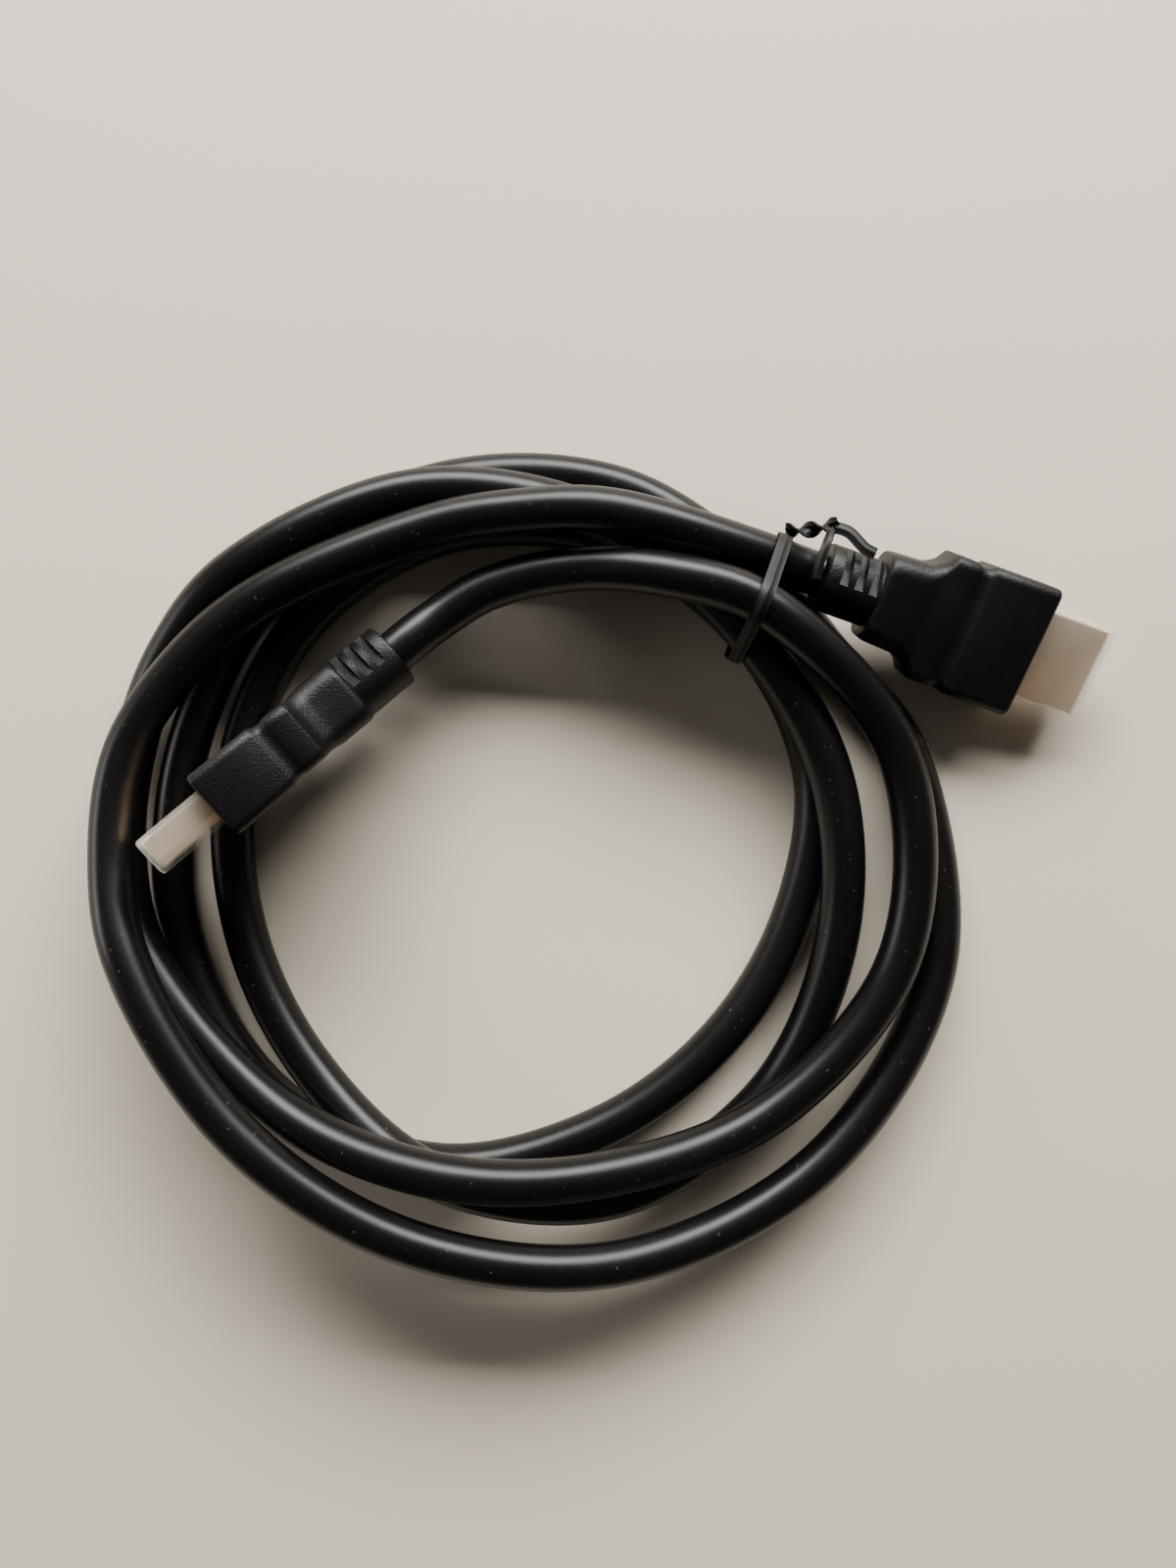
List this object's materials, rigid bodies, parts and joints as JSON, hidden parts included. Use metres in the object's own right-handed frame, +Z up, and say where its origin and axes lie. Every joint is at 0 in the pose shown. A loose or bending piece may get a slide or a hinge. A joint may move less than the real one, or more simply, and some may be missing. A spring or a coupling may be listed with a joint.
{
  "type": "hdmi cable",
  "caption": "Loosely coiled black audio-video cable with a flat moulded plug and slide-on dust cap at each end, bound by a twist tie.",
  "frame": {"origin": "middle of the underside of the whole coil with its two plugs, on the surface it lies on", "axes": "+Z up; +X along the coil's longer way, towards the plug that sticks out; +Y across"},
  "size_m": [0.164, 0.1336, 0.0292],
  "materials": {
    "jacket": "smooth semi-gloss flexible PVC",
    "overmould": "finely grained moulded PVC",
    "shell": "gold plated pressed steel",
    "insulator": "moulded plastic",
    "cap": "milky translucent soft plastic",
    "tie": "plastic-coated wire ribbon"
  },
  "bodies": {
    "cable_and_plugs": {"cable": "jacket", "plug_a_housing": "overmould", "plug_a_shell": "shell", "plug_a_insulator": "insulator", "plug_b_housing": "overmould", "plug_b_shell": "shell", "plug_b_insulator": "insulator", "twist_tie": "tie"},
    "cap_a": {"plug_a_cap": "cap"},
    "cap_b": {"plug_b_cap": "cap"}
  },
  "joints": [
    {"name": "cap_a_slide", "type": "slide", "parent": "cable_and_plugs", "child": "cap_a", "axis": [0.9431, -0.3156, -0.1045], "range_m": [0, 0.012]},
    {"name": "cap_b_slide", "type": "slide", "parent": "cable_and_plugs", "child": "cap_b", "axis": [-0.7386, -0.6558, 0.1564], "range_m": [0, 0.0025]}
  ]
}
